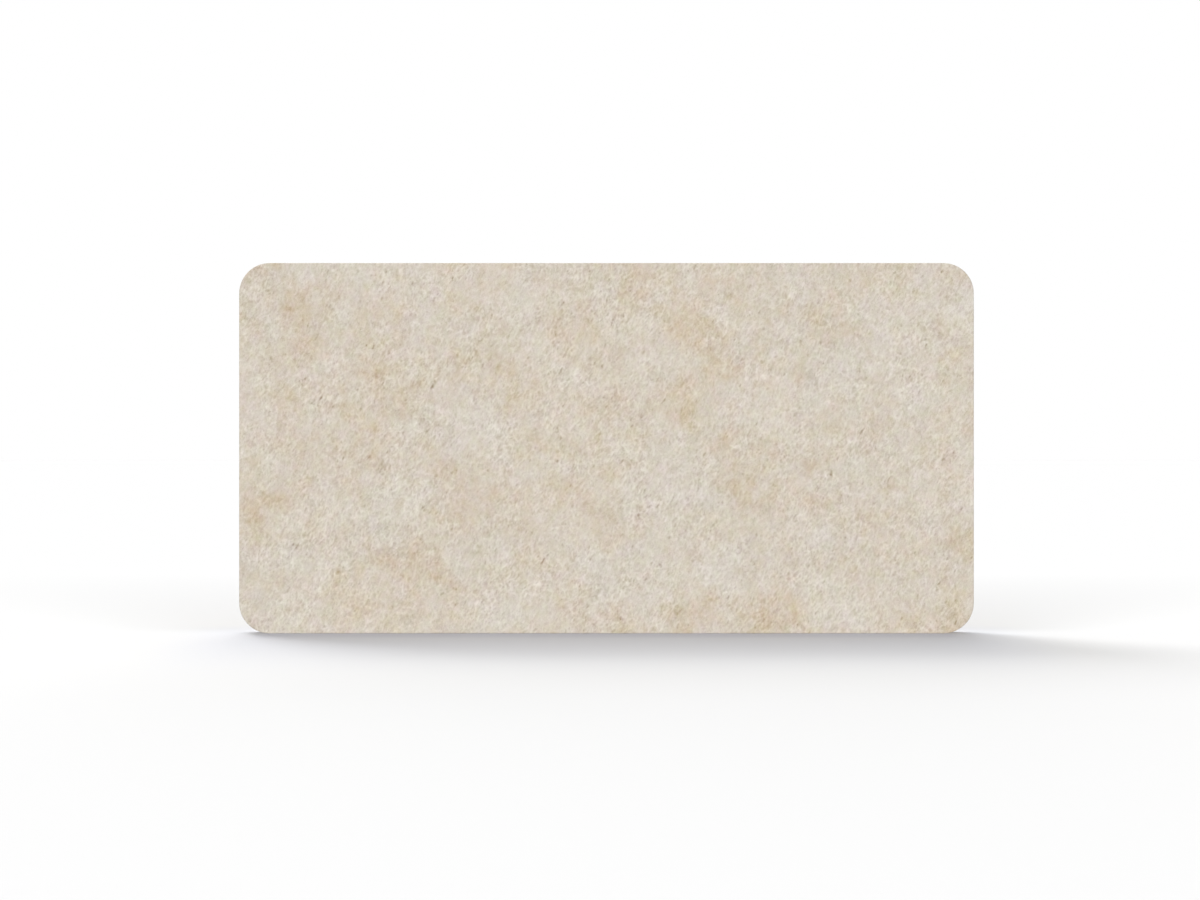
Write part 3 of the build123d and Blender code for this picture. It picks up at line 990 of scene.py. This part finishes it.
# %% Grow fibres on the felt
fibre_mat, shader, here = new_material("felt_fibres", Roughness=0.8, Sheen_Weight=0.1)
shade = here.add("ShaderNodeAttribute", {"attribute_name": "shade"}, out="Fac")
pale = shade.mix((0.86, 0.82, 0.74, 1), (0.62, 0.54, 0.42, 1))
plug(shader, shade.step(0.955, 0.965).mix(pale, (0.2, 0.14, 0.08, 1)))
hairy = {"front_fibres": front_cover, "back_fibres": back_cover, "rim_fibres": rim_band}
for seed, (name, felt_piece) in enumerate(hairy.items(), 1):
    copy = placed("fibre_base", felt_piece.data.copy())
    piece = grow(name, fuzz_tree, copy, {"Seed": seed, "Density": 6000.0}, fibre_mat)
    bpy.data.objects.remove(copy)
    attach(piece, "panel")

# %% [markdown]
# ## Timber, card, metal and nylon
#
# The rigid CAD pieces keep their shape and only get a finish. Softwood has slow growth bands stretched
# along the length of the piece, fine pores between them and now and then a knot. The metals differ in
# colour and in how even their polish is. The stem's thread could be cut into its mesh, but a helix is
# easily told in numbers: the height of the surface depends on z and on the angle round the stem's axis.

# %% Finish the rigid pieces
def timber_look(name, along, pale, dark):
    """Planed wood whose grain runs along an axis: 0 for X, 1 for Y and 2 for Z."""
    material, shader, here = new_material(name, Specular_IOR_Level=0.3)

    def drawn_out(share):
        """Coordinates shortened along the grain, so that noise is drawn out along it."""
        return here.vector("MULTIPLY", here, tuple(share if i == along else 1.0 for i in range(3)))

    bands = drawn_out(0.05).noise(75.0, 2.0, 0.5, 1.0) * 9
    rings = bands.maths("SINE", bands) * 0.5 + 0.5
    pores = drawn_out(0.05).noise(1100.0, 2.0, 0.6, 2.0)
    knot = drawn_out(0.45).noise(11.0, 0.0, 0.5, 8.0).step(1.25, 1.45) * 0.8
    colour = (rings * 0.5 + pores * 0.15 + 0.15).mix(pale, dark)
    colour = knot.mix(colour, (0.2, 0.1, 0.04, 1))
    plug(shader, colour, pores + rings, 0.08 * MM, pores * 0.08 + 0.6)
    return material


def metal_look(name, pale, dark, rough, uneven, scale=260.0):
    """Plated metal with a cloudy polish."""
    material, shader, here = new_material(name, Metallic=1.0)
    cloud = here.noise(scale, 3.0, 0.6, 1.0)
    plug(shader, (cloud * 0.4 + 0.5).mix(pale, dark), cloud, 0.01 * MM, cloud * uneven + rough)
    return material


pale, dark = (0.72, 0.54, 0.33, 1), (0.5, 0.31, 0.14, 1)
rail_wood = timber_look("rail_pine", 0, pale, dark)
stile_wood = timber_look("stile_pine", 2, pale, dark)
dowel_wood = timber_look("dowel_beech", 1, (0.62, 0.4, 0.23, 1), (0.48, 0.28, 0.14, 1))
pale, dark = (0.5, 0.36, 0.23, 1), (0.38, 0.26, 0.15, 1)
card_board = fibre_look("brown_card", pale, dark, 900.0, 0.05 * MM, Roughness=0.85)
wire_metal = metal_look("staple_wire", (0.66, 0.66, 0.68, 1), (0.5, 0.5, 0.53, 1), 0.35, 0.1)
zinc_metal = metal_look("zinc_plate", (0.62, 0.59, 0.5, 1), (0.46, 0.44, 0.4, 1), 0.38, 0.1)

nylon, shader, here = new_material("black_nylon", Specular_IOR_Level=0.4)
moulded = here.noise(1500.0, 2.0, 0.5, 1.0)
scuffs = here.noise(180.0, 3.0, 0.7, 2.0)
colour = (scuffs * 0.4 + 0.4).mix((0.02, 0.02, 0.022, 1), (0.055, 0.055, 0.058, 1))
plug(shader, colour, moulded, 0.04 * MM, scuffs * 0.12 + 0.5)

thread_pitch = 1.25 * MM
stem_steel, shader, here = new_material("stem_steel", Metallic=1.0)
split = here.add("ShaderNodeSeparateXYZ", {}, {"Vector": here})
x, y, z = (split.output(i) for i in range(3))
off = x - x.maths("SIGN", x) * glide_xs[1]
turns = z * (1 / thread_pitch) + off.maths("ARCTAN2", y, off) * (0.5 / math.pi)
thread = turns.maths("PINGPONG", turns, 0.5) * 2
shank = z.step(5 * MM, 5.3 * MM)
polish = here.noise(300.0, 2.0, 0.5, 1.0)
colour = (polish * 0.3 + 0.5).mix((0.68, 0.68, 0.7, 1), (0.5, 0.5, 0.52, 1))
plug(shader, colour, thread * shank, 0.5 * MM, polish * 0.06 + 0.3)

finishes = {
    "rail": rail_wood, "stile": stile_wood, "upright": stile_wood, "dowels": dowel_wood,
    "tack_strip": card_board, "staples": wire_metal, "inserts": zinc_metal, "insert": zinc_metal,
    "foot": nylon, "stem": stem_steel,
}
for node, obj in frame["nodes"].items():
    for ending, material in finishes.items():
        if node.endswith(ending) and not obj.hide_render:
            for place in obj.material_slots:
                place.material = material
            print(node, material.name)

# %% [markdown]
# ## Floor and light
#
# The photograph is a studio picture on seamless white. The panel's shadow comes from the lamps, and
# painted shade in the floor's colour adds what they leave out. Light that comes back off the felt would
# warm the floor at the panel's foot, where the photograph is neutral, so the painted shade makes the
# floor darker and cooler there. Right behind the panel, where the photograph shows a broad soft shade
# past both ends, a painted shadow makes it up to a sixth darker, a little more to the right than to the
# left, and that fades out over 1.7 m.

# %% Colour the floor
# painted shade: the floor's colour is darker and cooler round the panel's foot, and a painted shadow
# darkens it behind the panel
foot_painted_shade = (0.70, 0.71, 0.79, 1)
near_painted_shade, near_reach = (0.806, 0.819, 0.867, 1), 0.11
open_floor, open_reach = (0.85, 0.85, 0.85, 1), 0.75
steep = 4  # behind and beside the panel, the painted shade at the foot gives way this much sooner than in front
shade_depth, shade_fall = 0.175, 0.105  # right behind the panel, and less by this for each metre
shade_edge, shade_spread = 0.2, 0.8  # its soft end beside the panel, and more for each metre
left_share = 0.72


def floor_colour(here):
    """Pale grey, with painted shade round the panel's foot and a painted shadow behind it."""
    across = here.add("ShaderNodeSeparateXYZ", {}, {"Vector": here})
    off, behind = across.maths("ABSOLUTE", across), across.output("Y")
    beside = here.maths("MAXIMUM", off * steep - steep * straight, 0.0)
    ahead = here.maths("MAXIMUM", behind * steep + steep * front, front - behind)
    ahead = here.maths("MAXIMUM", ahead, 0.0)
    foot = here.maths("SQRT", beside * beside + ahead * ahead)
    # painted shade, darker and cooler towards the panel's foot
    ground = foot.step(0.0, near_reach).mix(foot_painted_shade, near_painted_shade)
    ground = foot.step(0.0, open_reach).mix(ground, open_floor)
    # a painted shadow behind the panel, reaching past both ends
    past_end = here.maths("DIVIDE", off - half_length, behind * shade_spread + shade_edge)
    shade = here.maths("MAXIMUM", shade_depth - behind * shade_fall, 0.0) * behind.step(-0.03, 0.1)
    shade = shade * (1 - past_end.step(0.0, 1.0))
    shade = shade * (across.step(-0.3, 0.3) * (1 - left_share) + left_share)
    return shade.mix(ground, (0, 0, 0, 1))


floor_mat, shader, here = new_material("studio_floor", Roughness=0.9, Specular_IOR_Level=0.0)
plug(shader, floor_colour(here))
print("floor colour", len(floor_mat.node_tree.nodes), "nodes")

# %% [markdown]
# The face in the photograph is as bright at its foot as at its top, so the floor has to light it evenly.
# Only the camera sees the floor's shadow, and every other ray meets a plain glow. Seen from below, the
# floor is clear, so that the underside can be looked at.

# %% Lay the floor
floor_glow = 0.6
floor_reach = 60
camera_ray = here.add("ShaderNodeLightPath", out="Is Camera Ray")
glow = here.add("ShaderNodeEmission", {}, {"Color": (1, 1, 1, 1), "Strength": floor_glow})
shaded = Wire(here.tree, shader.outputs[0])
both = here.add("ShaderNodeMixShader", {}, {0: camera_ray, 1: glow, 2: shaded})
underneath = here.add("ShaderNodeNewGeometry", out="Backfacing")
clear = here.add("ShaderNodeBsdfTransparent")
both = here.add("ShaderNodeMixShader", {}, {0: underneath, 1: both, 2: clear})
here.tree.links.new(both.socket, here.tree.nodes["Material Output"].inputs["Surface"])
bm = bmesh.new()
bmesh.ops.create_grid(bm, x_segments=1, y_segments=1, size=floor_reach)
floor = made("floor", bm, floor_mat)
floor.location.z = -0.2 * MM
print("floor laid", round(-floor.location.z / MM, 2), "mm under the panel")

# %% [markdown]
# The light was taken apart from the soft shadow in the photograph: an even sky and three broad lamps
# behind the panel, one from the left, which throws the shadow forwards and to the right, one from high
# up and one from low down. A lamp near the camera completes the light on the face, and its own shadow is
# hidden behind the panel. To the camera and in reflections the sky is plain white.

# %% Light the studio
bpy.context.scene.view_settings.view_transform = "Standard"
sky_light = 0.473
world = bpy.data.worlds.new("studio")
world.use_nodes = True
bpy.context.scene.world = world
background = world.node_tree.nodes["Background"]
rays = Wire(world.node_tree).add("ShaderNodeLightPath")
seen = rays.output("Is Camera Ray")
for kind in ("Is Glossy Ray", "Is Transmission Ray"):
    seen = seen.maths("MAXIMUM", seen, rays.output(kind))
strength = seen * (1 - sky_light) + sky_light
world.node_tree.links.new(strength.socket, background.inputs["Strength"])
background.inputs["Color"].default_value = (1, 1, 1, 1)


def lamp(name, azimuth, elevation, width, energy):
    """A broad lamp far away. Azimuth 0 is behind the panel and 90 is to the right, in degrees."""
    turn, rise = math.radians(azimuth), math.radians(elevation)
    light = placed(name, bpy.data.lights.new(name, "SUN"))
    light.data.energy, light.data.angle = energy, math.radians(width)
    towards = Vector((math.cos(rise) * math.sin(turn), math.cos(rise) * math.cos(turn), math.sin(rise)))
    light.rotation_euler = towards.to_track_quat("Z", "Y").to_euler()
    print(name, "energy", energy)


lamp("key", 324, 42, 28, 1.18)
lamp("top", 348, 66, 40, 1.0)
lamp("low_back", 354, 18, 40, 0.9)
lamp("front", 184, 9, 12, 1.47)
